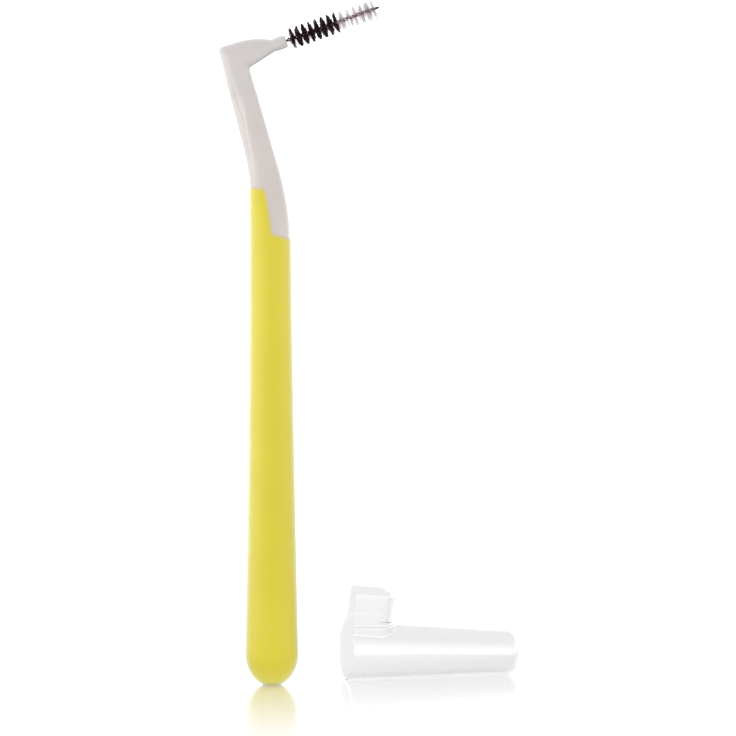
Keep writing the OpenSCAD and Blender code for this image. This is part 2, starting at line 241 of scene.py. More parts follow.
def turn(s, r):
    """A level line that turns into a slope of 1, with a round stretch of half-length r."""
    return np.where(s <= -r, 0, np.where(s >= r, s, (s + r) ** 2 / (4 * r)))


def toward(a):
    """Direction in the profile's plane as [x, z]: 0 points back and a quarter turn up."""
    return np.stack([-np.cos(a), np.sin(a)], -1)


def forward(a):
    """Direction in the profile's plane as [x, z]: 0 points forward and a quarter turn up."""
    return np.stack([np.cos(a), np.sin(a)], -1)


def unit(v):
    return v / np.linalg.norm(v, axis=-1, keepdims=True)


def both_sides(values):
    """Difference between the next and the last value in a closed ring."""
    return np.roll(values, -1) - np.roll(values, 1)


def crowded(columns):
    """Angles round a section, closer together at its sides by a sine of twice the angle."""
    crowding = 0.35
    t = np.arange(columns) / columns * 2
    half = np.pi * (t % 1) + crowding * 0.5 * np.sin(2 * np.pi * (t % 1))
    return np.where(t >= 1, np.pi, 0) + half


def radius_at(a, power):
    """Superellipse of half-breadth 1: (|cos a|^p + |sin a|^p)^(-1/p)."""
    return (np.abs(np.cos(a)) ** power + np.abs(np.sin(a)) ** power) ** (-1 / power)


def section_grid(stations, a, inset=0):
    """Points [ring, column, xyz] of the stations' sections at the angles a.

    x and z run from the outer to the inner point by r cos a, and y is the half-depth times
    r sin a, with every side drawn in by the inset.
    """
    outer, inner, depth, power = stations
    if outer.ndim == 2:
        outer, inner, depth, power = (v[:, None] for v in (outer, inner, depth, power))
    r = radius_at(a, power)
    centre, half = (outer + inner) / 2, (inner - outer) / 2
    reach = np.linalg.norm(half, axis=-1)
    k = (reach - inset) / reach * r * np.cos(a)
    x = centre[..., 0] + k * half[..., 0]
    z = centre[..., 1] + k * half[..., 1]
    return np.stack([x, (depth - inset) * r * np.sin(a), z], -1)


def drawn_in(stations, inset):
    """The same stations with every side drawn in by an inset of their own."""
    outer, inner, depth, power = stations
    step = unit((inner - outer) / 2) * np.asarray(inset)[..., None]
    return outer + step, inner - step, depth - inset, power


class Profile:
    """The brush's side view: its back and front edges by height, then round the elbow.

    A station is an outer point, an inner point, a half-depth and a roundness, and a section
    is the superellipse that spans them, at the angles of the columns.
    """

    swell_power = 1.45  # how the grip's breadth runs from its heel to its top
    slim_share = 0.62  # share of the neck over which it slims and turns squarer
    lip_start, lip_end = -0.17, 0.12  # the lip's steep fall, where -1 is the back and 1 the front
    lip_front, lip_level = 0.14, -0.1  # how much it falls on in front, and where that starts
    corner_power = 14  # sharpness of the elbow's outer corner
    crown = 0.4  # where the arm's top edge bends, as a share of its reach
    near_columns = 3  # columns on each side in which the lip's nearest height is sought

    def __init__(self, s, columns=4):
        self.s = s
        self.a = crowded(columns)
        self.neck_z = s.elbow - s.grip_front
        self.lip_top = s.grip_front + s.grip_rise
        self.heel_oval = s.heel_round / math.sqrt(1 - (2 * s.heel_flat / s.heel_w) ** 2)
        self.pivot_h = s.elbow - s.inner_r
        front = float(self.front_x(np.array(self.pivot_h)))
        back = float(self.back_x(np.array(self.pivot_h)))
        self.pivot = np.array([front + s.inner_r / math.cos(s.front_angle), self.pivot_h])
        self.back_reach = (self.pivot[0] - back) * math.cos(s.back_angle)
        self.across = math.pi / 2 - s.wire_angle
        ahead = forward(s.wire_angle)
        self.nose = self.pivot + s.arm_reach * ahead + s.arm_lift * toward(self.across)
        self.nose_back = self.nose - s.nose_len * ahead
        self.arm_end_r = s.nose_r - s.nose_step

    def climb(self, z):
        """Share of the way from the top of the heel's round to the front of the lip."""
        s = self.s
        return np.clip((z - s.heel_round) / (s.grip_front - s.heel_round), 0, 1)

    def swell(self, z, low, top):
        """Breadth at a height: a power of the climb, and an ellipse that ends at the heel."""
        rise = np.clip((self.s.heel_round - z) / self.heel_oval, 0, 1)
        return mix(top, low, (1 - self.climb(z)) ** self.swell_power) * np.sqrt(1 - rise ** 2)

    def middle_x(self, z):
        return -self.s.grip_lean * self.climb(z) ** 2

    def back_x(self, z):
        s = self.s
        return (self.middle_x(z) - self.swell(z, s.heel_w, s.waist_w) / 2
                - math.tan(s.back_angle) * turn(z - s.grip_front - s.back_bend, s.back_run))

    def front_x(self, z):
        s = self.s
        return (self.middle_x(z) + self.swell(z, s.heel_w, s.waist_w) / 2
                - math.tan(s.front_angle) * turn(z - s.grip_front - s.front_bend, s.front_run))

    def level(self, z):
        """Stations at the heights z, which may be an array of any shape."""
        s = self.s
        slim = ease((z - s.grip_front) / (self.slim_share * self.neck_z))
        depth = mix(self.swell(z, s.heel_d, s.waist_d), s.neck_d, slim) / 2
        power = mix(s.grip_power, s.neck_power, slim)
        outer = np.stack([self.back_x(z), z], -1)
        inner = np.stack([self.front_x(z), z], -1)
        return outer, inner, depth, power

    def upright(self, z, inset):
        """Level rings at the heights z, drawn in by the inset."""
        return section_grid(self.level(z), self.a, inset)

    def slanted(self, low, high, t, inset):
        """Rings whose heights run by the shares t from a level to a line round the brush."""
        height = mix(low, high[None, :], np.asarray(t)[:, None])
        return section_grid(self.level(height), self.a, inset)

    def elbow_stations(self, t):
        """The outer edge is a sharp-cornered superellipse about the pivot, the inner a round."""
        s, p = self.s, self.corner_power
        a = mix(-s.front_angle, self.across - s.top_angle / 2, t)
        reach = ((np.maximum(0, np.cos(a + s.back_angle)) / self.back_reach) ** p
                 + (np.maximum(0, np.cos(a - math.pi / 2 + s.top_angle)) / s.elbow_top) ** p
                 ) ** (-1 / p)
        outer = self.pivot + reach[:, None] * toward(a)
        inner = self.pivot + s.inner_r * toward(a)
        full = np.ones_like(t)
        return outer, inner, full * s.neck_d / 2, full * s.neck_power

    def arm_stations(self, t):
        """The top edge is a bow of second degree and the lower edge is straight."""
        s = self.s
        outer0, inner0 = (p[-1] for p in self.elbow_stations(np.array([0.0, 1.0]))[:2])
        crown = outer0 + self.crown * s.arm_reach * forward(s.top_angle)
        side = self.arm_end_r * toward(self.across)
        u = t[:, None]
        outer = mix(mix(outer0, crown, u), mix(crown, self.nose_back + side, u), u)
        inner = mix(inner0, self.nose_back - side, u)
        return (outer, inner, mix(s.neck_d / 2, self.arm_end_r, ease(t)),
                mix(s.neck_power, 2.0, ease(t)))

    def round_rings(self, back, r):
        """Round rings on the wire's axis, back from the nose."""
        centre = self.nose - back[:, None] * forward(self.s.wire_angle)
        side = r[:, None] * toward(self.across)
        return section_grid((centre + side, centre - side, r, np.full_like(r, 2.0)), self.a)

    def lip(self):
        """Height of the lip: level at the back, a steep fall at the side, gentle in front."""
        s = self.s
        u = radius_at(self.a, s.grip_power) * np.cos(self.a)
        fall = ease((self.lip_end - u) / (self.lip_end - self.lip_start))
        front = self.lip_front * (1 - np.maximum(u, self.lip_level))
        top = self.lip_front * (1 - self.lip_level)
        return s.grip_front + s.grip_rise * (front + (1 - top) * fall)

    def off_lip(self, z):
        """Distance below the lip (above it where negative) of points [ring, column].

        It is the height to the lip times the cosine of the lip's slope, and it is no less
        than the height to the lip's lowest or highest place in the next few columns.
        """
        lip = self.lip()
        x, y, _ = np.moveaxis(section_grid(self.level(lip[None]), self.a)[0], -1, 0)
        run = np.hypot(both_sides(x), both_sides(y))
        shifts = range(-self.near_columns, self.near_columns + 1)
        near = np.stack([np.roll(lip, shift) for shift in shifts])
        square = (lip - z) * run / np.hypot(run, both_sides(lip))
        low, high = near.min(0) - z, near.max(0) - z
        return np.where(z < lip, np.maximum(square, low), np.minimum(square, high))


# Meshes


def quads(rows, columns, start=0, closed=True):
    """Quads between the rings of a grid of points, in columns that close or not."""
    i, j = np.meshgrid(np.arange(rows - 1), np.arange(columns if closed else columns - 1),
                       indexing="ij")
    k = (j + 1) % columns
    a, b = i * columns + j, i * columns + k
    return np.stack([a, a + columns, b + columns, b], -1).reshape(-1, 4) + start


def capped(grid):
    """Points and faces of a tube of rings, its first and last ring closed by a point."""
    rows, columns = grid.shape[:2]
    points = np.concatenate([grid.reshape(-1, 3), [grid[0].mean(0), grid[-1].mean(0)]])
    j = np.arange(columns)
    k = (j + 1) % columns
    first, last = rows * columns, rows * columns + 1
    base = (rows - 1) * columns
    fans = np.concatenate([
        np.stack([np.full(columns, first), j, k], -1),
        np.stack([np.full(columns, last), base + k, base + j], -1)])
    return points, [quads(rows, columns), fans]


def weld(mesh):
    """Joins points in the same place, as at seams and poles, and turns the faces outwards."""
    work = bmesh.new()
    work.from_mesh(mesh)
    bmesh.ops.remove_doubles(work, verts=work.verts, dist=0.0001 * MM)
    bmesh.ops.recalc_face_normals(work, faces=work.faces)
    open_edges = sum(not e.is_manifold for e in work.edges)
    work.to_mesh(mesh)
    work.free()
    if open_edges:
        raise RuntimeError(f"{mesh.name}: {open_edges} edges aren't closed")


def piece(name, points, faces, material, body, slot, nodes, **marks):
    """A smooth mesh object from arrays: it rides on a body and stands for nodes.

    A mark is a value at each point, which the material reads by its name.
    """
    mesh = bpy.data.meshes.new(name)
    points = np.asarray(points, float).reshape(-1, 3)
    mesh.vertices.add(len(points))
    mesh.vertices.foreach_set("co", points.ravel().astype(np.float32))
    sizes = np.concatenate([np.full(len(f), len(f[0]), np.int32) for f in faces])
    corners = np.concatenate([np.asarray(f, np.int32).ravel() for f in faces])
    mesh.loops.add(len(corners))
    mesh.loops.foreach_set("vertex_index", corners)
    mesh.polygons.add(len(sizes))
    mesh.polygons.foreach_set("loop_start", (np.cumsum(sizes) - sizes).astype(np.int32))
    mesh.polygons.foreach_set("use_smooth", np.ones(len(sizes), bool))
    mesh.update(calc_edges=True)
    for mark, values in marks.items():
        layer = mesh.attributes.new(mark, "FLOAT", "POINT")
        layer.data.foreach_set("value", np.asarray(values, np.float32))
    weld(mesh)
    mesh.materials.append(material)
    made = bpy.data.objects.new(name, mesh)
    bpy.context.scene.collection.objects.link(made)
    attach(made, body)
    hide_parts(*nodes)


# Shader nodes


def feed(tree, target, inputs):
    """Sets inputs of a node to numbers or colours, or links other nodes' outputs to them."""
    for key, value in inputs.items():
        if isinstance(value, NodeSocket):
            tree.links.new(value, target.inputs[key])
        else:
            target.inputs[key].default_value = value


def add_node(tree, kind, inputs=(), **settings):
    made = tree.nodes.new(f"ShaderNode{kind}")
    for key, value in settings.items():
        setattr(made, key, value)
    feed(tree, made, dict(inputs))
    return made


def calculated(tree, operation, a, b):
    """Output of a sum, product or other step with two outputs or numbers."""
    return add_node(tree, "Math", {0: a, 1: b}, operation=operation).outputs[0]


def spread(tree, value, source, target):
    """Output of a value mapped from one range to another, and held at its ends."""
    ends = ("From Min", "From Max", "To Min", "To Max")
    made = add_node(tree, "MapRange", {"Value": value, **dict(zip(ends, (*source, *target)))})
    return made.outputs["Result"]


def mixed_value(tree, part, a, b):
    return add_node(tree, "Mix", {0: part, 2: a, 3: b}).outputs[0]


def mixed_colour(tree, part, a, b):
    return add_node(tree, "Mix", {0: part, 6: a, 7: b}, data_type="RGBA").outputs[2]


def mixed_shader(tree, part, a, b):
    return add_node(tree, "MixShader", {0: part, 1: a, 2: b}).outputs[0]


def object_place(tree):
    return add_node(tree, "TexCoord").outputs["Object"]


def mark_of(tree, name):
    """Output of a mark on the mesh."""
    return add_node(tree, "Attribute", attribute_name=name).outputs["Fac"]


# Materials


def new_material(name):
    """A material with its node tree and its shader."""
    made = bpy.data.materials.new(name)
    made.use_nodes = True
    return made, made.node_tree, made.node_tree.nodes["Principled BSDF"]


def mould_group():
    """Moulded plastic: faint cloudy tone, fine pitting and a roughness that drifts."""
    g = bpy.data.node_groups.new("moulded surface", "ShaderNodeTree")
    rgb, number = "NodeSocketColor", "NodeSocketFloat"
    for name, kind, default in (
            ("Colour", rgb, (0.8, 0.8, 0.8, 1)), ("Shade", rgb, (0.7, 0.7, 0.7, 1)),
            ("Cloud scale", number, 200.0), ("Cloud", number, 0.3),
            ("Pit scale", number, 6000.0),
            ("Roughness low", number, 0.3), ("Roughness high", number, 0.4)):
        g.interface.new_socket(name, in_out="INPUT", socket_type=kind).default_value = default
    for name, kind in (("Colour", rgb), ("Roughness", number), ("Height", number)):
        g.interface.new_socket(name, in_out="OUTPUT", socket_type=kind)
    source, sink = g.nodes.new("NodeGroupInput"), g.nodes.new("NodeGroupOutput")
    given = source.outputs
    place = object_place(g)
    cloud = add_node(g, "TexNoise", {
        "Vector": place, "Scale": given["Cloud scale"], "Detail": 3}).outputs["Fac"]
    pits = add_node(g, "TexNoise", {
        "Vector": place, "Scale": given["Pit scale"], "Detail": 2}).outputs["Fac"]
    cloudy = spread(g, cloud, (0.35, 0.65), (0, 1))
    amount = calculated(g, "MULTIPLY", cloudy, given["Cloud"])
    feed(g, sink, {
        "Colour": mixed_colour(g, amount, given["Colour"], given["Shade"]),
        "Roughness": spread(g, cloud, (0, 1), (given["Roughness low"], given["Roughness high"])),
        "Height": pits})
    return g


def moulded(name, rgb, shade, cloud_scale, cloud, pit_scale, pit_depth, low, high):
    """A moulded plastic whose tone, roughness and fine pitting come from the shared group."""
    made, tree, shader = new_material(name)
    group = bpy.data.node_groups.get("moulded surface") or mould_group()
    skin = add_node(tree, "Group", node_tree=group)
    feed(tree, skin, {
        "Colour": (*rgb, 1), "Shade": (*shade, 1), "Cloud scale": cloud_scale, "Cloud": cloud,
        "Pit scale": pit_scale, "Roughness low": low, "Roughness high": high})
    bump = add_node(tree, "Bump", {"Distance": pit_depth, "Height": skin.outputs["Height"]})
    feed(tree, shader, {
        "Base Color": skin.outputs["Colour"], "Roughness": skin.outputs["Roughness"],
        "Normal": bump.outputs["Normal"]})
    return made, tree, shader


def tint(tree, shader, part, rgb):
    """Mixes a colour into the shader's own, by the output of a node."""
    own = shader.inputs["Base Color"].links[0].from_socket
    feed(tree, shader, {"Base Color": mixed_colour(tree, part, own, (*rgb, 1))})


def white_plastic(f):
    """White plastic, with painted cool light at the head and a film of the grip above its lip."""
    cool_light_from, cool_light_to, film = 100 * MM, 136 * MM, 0.4
    made, tree, shader = moulded(
        "white plastic", f.white, [0.94 * c for c in f.white], cloud_scale=160, cloud=0.6,
        pit_scale=5200, pit_depth=0.004 * MM, low=0.3, high=0.42)
    feed(tree, shader, {
        "Subsurface Weight": 0.12, "Subsurface Radius": (0.9, 0.8, 0.7),
        "Subsurface Scale": 1.2 * MM, "Specular IOR Level": 0.8, "Sheen Weight": 0.6,
        "Sheen Roughness": 0.35})
    height = add_node(tree, "SeparateXYZ", {0: object_place(tree)}).outputs["Z"]
    # painted light: the elbow and arm turn a cooler tone with height, for the cool light from
    # above
    tint(tree, shader, spread(tree, height, (cool_light_from, cool_light_to), (0, 1)), f.white_cool_light_head)
    tint(tree, shader, calculated(tree, "MULTIPLY", mark_of(tree, "film"), film), f.yellow)
    return made


def yellow_elastomer(f):
    """Soft yellow elastomer with sheen, where the white shows through the thin lip."""
    through_lip = 0.5
    made, tree, shader = moulded(
        "yellow elastomer", f.yellow, [k * c for k, c in zip((0.93, 0.92, 0.8), f.yellow)],
        cloud_scale=90, cloud=0.5, pit_scale=4200, pit_depth=0.006 * MM, low=0.34, high=0.46)
    feed(tree, shader, {
        "Subsurface Weight": 0.08, "Subsurface Radius": (1.0, 0.8, 0.15),
        "Subsurface Scale": 1.2 * MM, "Specular IOR Level": 0.6, "Sheen Weight": 1.0,
        "Sheen Tint": (0.75, 0.92, 1.0, 1), "Sheen Roughness": 0.4})
    thin = calculated(tree, "MULTIPLY", mark_of(tree, "thin"), through_lip)
    tint(tree, shader, thin, f.white)
    return made


def marked(name, mark, start, end, own, **surface):
    """A moulded surface whose colour runs from start to end by a mark on the mesh."""
    made, tree, shader = moulded(name, start, [0.8 * c for c in start], **surface)
    tint(tree, shader, mark_of(tree, mark), end)
    feed(tree, shader, own)
    return made


def coated_wire(f):
    # the colour runs from painted shade among the black bristles to the wire's own colour beyond
    # them
    return marked("coated wire", "bare", f.wire_painted_shade, f.wire,
                  {"Metallic": 0.3, "Specular IOR Level": 0.2}, cloud_scale=900, cloud=0.8,
                  pit_scale=9000, pit_depth=0.002 * MM, low=0.3, high=0.5)


def filament_surface(name, root, tip, own, **surface):
    """A filament's surface, whose colour runs out from the wire."""
    return marked(name, "reach", root, tip, own, cloud_scale=1500, cloud=0.6, pit_scale=8000,
                  pit_depth=0.001 * MM, **surface)


def black_filament(f):
    return filament_surface("black filament", f.black, f.black_tip,
                            {"Specular IOR Level": 0.1}, low=0.35, high=0.5)


def clear_filament(f):
    made = filament_surface("clear filament", f.clear, f.clear_tip,
                            {"Specular IOR Level": 0.2, "Alpha": 0.35}, low=0.25, high=0.4)
    made.surface_render_method = "BLENDED"
    return made


def clear_plastic(f):
    """Clear moulded plastic, whose roughness drifts. Its outer skin is glossy from outside, and
    in the floor's mirror it is painted paler.
    """
    made, tree, shader = new_material("clear plastic")
    mirrored = add_node(tree, "LightPath").outputs["Is Glossy Ray"]
    behind = add_node(tree, "NewGeometry").outputs["Backfacing"]
    outside = calculated(tree, "SUBTRACT", 1.0, behind)
    drift = add_node(tree, "TexNoise", {
        "Vector": object_place(tree), "Scale": 260, "Detail": 3}).outputs["Fac"]
    bump = add_node(tree, "Bump", {"Distance": 0.01 * MM, "Height": drift})
    feed(tree, shader, {
        # painted reflection: gloss rays from the floor see a paler copy of the cap's colour, so
        # its reflection shows faint
        "Base Color": mixed_colour(tree, mirrored, (*f.cap, 1), (*f.cap_painted_pale_reflection, 1)),
        "Transmission Weight": 1.0, "IOR": 1.05, "Coat IOR": 2.4, "Coat Roughness": 0.12,
        "Coat Weight": calculated(tree, "MULTIPLY", mark_of(tree, "skin"), outside),
        "Roughness": spread(tree, drift, (0, 1), (0.12, 0.26)),
        "Normal": bump.outputs["Normal"]})
    return made


# Pieces


class Maker:
    """What the operators share."""

    bl_options = {"REGISTER", "UNDO"}


class BRUSH_OT_neck(Maker, Operator):
    """Build the white moulding: core, neck, elbow, arm and nose"""

    bl_idname = "brush.neck"
    bl_label = "White moulding"

    columns = 288
    # up the neck, the chamfer's breadth and the crease's place, as shares of their sizes
    places = (0, 0.06, 0.34, 0.53, 0.68, 0.86, 0.94, 1.02)
    facet_shares = (0.55, 0.65, 0.7, 0.8, 0.85, 1, 0.9, 0.55)
    crease_shares = (0.5, 0.55, 0.65, 0.8, 1, 0.8, 0.8, 0.8)
    flat_sharp = 16  # sharpness of the edges between the chamfer and the sides
    bell_share = 0.45  # half-breadth of the crease's bell, as a share of its breadth
    side_sine = 0.4  # columns whose sine is more than this are on a side and take the crease
    least = 1e-9  # keeps the flat's radius finite where a ray runs along it

    def sculpt(self, shape, stations, facet, crease=0.0, crease_at=0.0):
        """Cuts the back corners of the sections by a soft flat, and sinks a crease beside it.

        p runs back and q sideways from a section's middle. The flat is the line
        p sin g + q cos g = d, and the radius is the smooth least of the section's own and the
        flat's. The crease is a bell of the distance from its line, and moves q inwards.
        """
        s, a = shape.s, shape.a
        outer, inner, depth, power = stations
        half = (inner - outer) / 2
        h, d, p, w, crease, crease_at = (
            np.asarray(v, float)[..., None]
            for v in (np.linalg.norm(half, axis=-1), depth, power, facet, crease, crease_at))
        g, sharp = s.facet_angle, self.flat_sharp
        reach = (h - w) * math.sin(g) + d * math.cos(g)
        towards = -np.cos(a) * h * math.sin(g) + np.abs(np.sin(a)) * d * math.cos(g)
        own, cut = radius_at(a, p), reach / np.maximum(towards, self.least)
        r = np.where(w > 0, (own ** -sharp + cut ** -sharp) ** (-1 / sharp), own)
        across, side = -r * np.cos(a) * h, r * np.sin(a) * d
        off = (across - (h - crease_at)) / (s.crease_w * self.bell_share)
        dent = s.crease_d * crease * np.exp(-off ** 2)
        on_side = np.abs(np.sin(a)) > self.side_sine
        side = np.sign(side) * np.maximum(np.abs(side) - dent * on_side, 0)
        centre = ((outer + inner) / 2)[:, None]
        flat = centre - (across / h)[..., None] * half[:, None]
        return np.stack([flat[..., 0], side, flat[..., 1]], -1)

    def nose(self, shape, s, b):
        """Round rings: the step up to the nose, its barrel, its round and the wire's hole."""
        step = np.linspace(0, 1, 6)
        step_run = 4 * s.nose_step
        step_back = s.nose_len - step_run * step
        quarter = np.linspace(0, np.pi / 2, 12)
        barrel = np.linspace(step_back[-1], s.nose_round, 8)[1:-1]
        back = np.concatenate([step_back, barrel, s.nose_round * (1 - np.sin(quarter))])
        r = np.concatenate([shape.arm_end_r + s.nose_step * ease(step),
                            np.full(len(barrel), s.nose_r),
                            s.nose_r - s.nose_draw * (1 - np.cos(quarter))])
        hole_r = b.strand_d + b.gap / 2 + b.tail_gap
        chamfer, chamfer_deep = 0.08 * MM, 0.1 * MM
        hole_back = np.array([0, 0, chamfer_deep, b.tail + b.tail_gap])
        hole = np.array([mix(r[-1], hole_r, 0.6), hole_r + chamfer, hole_r, hole_r])
        return [shape.round_rings(back, r), shape.round_rings(hole_back, hole)]

    def execute(self, context):
        s, b = context.scene.handle_sizes, context.scene.brush_sizes
        shape = Profile(s, self.columns)
        core_in = s.grip_wall + s.bond_gap
        core_top = s.grip_front - s.lip_step
        neck_foot = shape.lip_top + s.lip_step
        hair = 0.1 * s.bond_gap  # keeps the neck's ledge clear of the grip's edge
        lip = shape.lip() + hair
        foot = np.array([s.core_foot])
        neck_t = np.linspace(0, 1, 90)[1:]
        neck = shape.level(mix(neck_foot, shape.pivot_h - s.neck_d, neck_t))
        facet = s.facet_w * through(neck_t, self.places, self.facet_shares)
        crease_at = s.crease_back * through(neck_t, self.places, self.crease_shares)
        # the crease starts above the lip and deepens towards the elbow
        crease = ease(neck_t / 0.08) * mix(1, 1.7, ease((neck_t - 0.6) / 0.25))
        # the chamfer narrows over the elbow and runs out along the arm
        elbow_t = np.linspace(0, 1, 70)
        elbow_facet = s.facet_w * mix(0.55, 0.5, ease(elbow_t))
        arm_t = np.linspace(0, 1, 40)[1:]
        arm_facet = s.facet_w * mix(0.5, 0, ease(arm_t))
        grid = np.concatenate([
            *(shape.upright(foot, core_in * (1 + 0.5 * (1 - k))) for k in np.linspace(0, 1, 4)),
            shape.upright(np.linspace(s.core_foot, core_top, 24), core_in),
            shape.slanted(core_top, lip, np.linspace(0, 1, 14)[1:], core_in),
            shape.slanted(neck_foot, lip, 1 - np.linspace(0, 1, 20) ** 1.7, s.lip_step),
            self.sculpt(shape, drawn_in(neck, s.lip_step * (1 - neck_t)), facet, crease,
                        crease_at),
            self.sculpt(shape, shape.elbow_stations(elbow_t), elbow_facet),
            self.sculpt(shape, shape.arm_stations(arm_t), arm_facet),
            *self.nose(shape, s, b),
        ])
        points, faces = capped(grid)
        film = ease(1 + shape.off_lip(grid[..., 2]) / s.flash)
        piece("neck", points, faces, white_plastic(context.scene.finishes), "brush",
              "white_plastic", ["neck_and_core"], film=np.concatenate([film.ravel(), [0, 0]]))
        return {"FINISHED"}


class BRUSH_OT_grip(Maker, Operator):
    """Build the soft yellow sleeve with its scooped lip"""

    bl_idname = "brush.grip"
    bl_label = "Soft grip"

    columns = 200

    def execute(self, context):
        s = context.scene.handle_sizes
        shape = Profile(s, self.columns)
        top = s.grip_front - s.lip_step
        lip = shape.lip()
        heel = s.heel_round * (1 - np.cos(np.linspace(0, np.pi / 2, 36)))
        floor_inside = s.core_foot - s.bond_gap
        grid = np.concatenate([
            shape.upright(heel, 0),
            shape.upright(np.linspace(s.heel_round, top, 90)[1:], 0),
            shape.slanted(top, lip - s.lip_round, np.linspace(0, 1, 30)[1:-1], 0),
            *(shape.slanted(top, lip - s.lip_round * (1 - math.sin(k)), [1.0],
                            s.lip_round * (1 - math.cos(k)))
              for k in np.linspace(0, np.pi / 2, 6)),
            shape.slanted(top, lip, [1.0], s.grip_wall),
            shape.slanted(top, lip, np.linspace(1, 0, 8)[1:], s.grip_wall),
            shape.upright(np.linspace(top, floor_inside, 16)[1:], s.grip_wall),
        ])
        points, faces = capped(grid)
        thin = ease(1 - shape.off_lip(grid[..., 2]) / s.thin_lip)
        piece("grip_sleeve", points, faces, yellow_elastomer(context.scene.finishes), "brush",
              "yellow_grip", ["grip"], thin=np.concatenate([thin.ravel(), [0, 0]]))
        return {"FINISHED"}


def wire_axes(s):
    """The nose as a point, and the three directions of the wire's frame as rows."""
    shape = Profile(s)
    along = np.array([math.cos(s.wire_angle), 0, math.sin(s.wire_angle)])
    side = np.array([0.0, 1.0, 0.0])
    up = np.cross(side, along)
    return np.array([shape.nose[0], 0, shape.nose[1]]), np.stack([up, side, along])


class BRUSH_OT_wire(Maker, Operator):
    """Build the folded wire: two strands twisted together, and the fold at their tip"""

    bl_idname = "brush.wire"
    bl_label = "Twisted wire"

    sides = 12
    steps_a_turn = 36
    fold_share = 2.2  # length of the fold, in its radii
    opening = 1.6  # more than 1 opens the fold fully before its end
    eye_power = 0.8  # less than 1 makes the eye of the fold squarer
    tip_dark, tip_share = 0.8, 1.6  # how dark the tip is again, and from how many fades back
    tail_short = 0.02 * MM  # how far the tail ends short of its full length

    def execute(self, context):
        s, b = context.scene.handle_sizes, context.scene.brush_sizes
        origin, axes = wire_axes(s)
        points, faces = capped(self.carry(self.path(b), b.strand_d / 2))
        z = points[:, 2]
        # painted shade: the wire is dark where the black bristles shade it; its darker tip is its
        # own colour
        bare = ease((z - b.bare_root - b.black_len + b.fade) / b.fade)
        bare *= 1 - self.tip_dark * ease((z - b.wire_len + self.tip_share * b.fade) / b.fade)
        piece("twisted_wire", origin + points @ axes, faces,
              coated_wire(context.scene.finishes), "brush", "coated_wire", ["wire"], bare=bare)
        return {"FINISHED"}

    def path(self, b):
        """The wire's middle line, up one strand and down the other.

        A strand is a helix of half the wires' distance. In the fold the distance widens, and
        closes by a power of the cosine while the height runs on by the sine.
        """
        run = b.wire_len - self.fold_share * b.tip_r
        turn_rate = 2 * np.pi / b.pitch
        steps = int(self.steps_a_turn * (run + b.tail) / b.pitch)
        z = np.linspace(-b.tail + self.tail_short, run, steps)
        off = (b.strand_d + b.gap) / 2
        strand = np.stack([-off * np.sin(turn_rate * z), off * np.cos(turn_rate * z), z], -1)
        t = np.linspace(0, 1, 26)[1:]
        opened = mix(off, b.tip_r - b.strand_d / 2, ease(np.minimum(1, t * self.opening)))
        across = opened * np.cos(t * np.pi / 2) ** self.eye_power
        reach = b.wire_len - b.strand_d / 2 - run
        fold = np.stack([-across * math.sin(turn_rate * run), across * math.cos(turn_rate * run),
                         run + reach * np.sin(t * np.pi / 2)], -1)
        half = np.concatenate([strand, fold])
        return np.concatenate([half, half[-2::-1] * np.array([-1, -1, 1])])

    def carry(self, path, radius):
        """Rings across a path, turned by the least turn from one to the next."""
        ahead = unit(np.gradient(path, axis=0))
        side = np.zeros_like(path)
        side[0] = np.cross(ahead[0], [1.0, 0.2, 0.1])
        side[0] /= np.linalg.norm(side[0])
        for i in range(1, len(path)):
            v = side[i - 1] - ahead[i] * side[i - 1].dot(ahead[i])
            side[i] = v / np.linalg.norm(v)
        up = np.cross(ahead, side)
        a = np.arange(self.sides) / self.sides * 2 * np.pi
        around = side[:, None] * np.cos(a)[:, None] + up[:, None] * np.sin(a)[:, None]
        return path[:, None] + around * radius


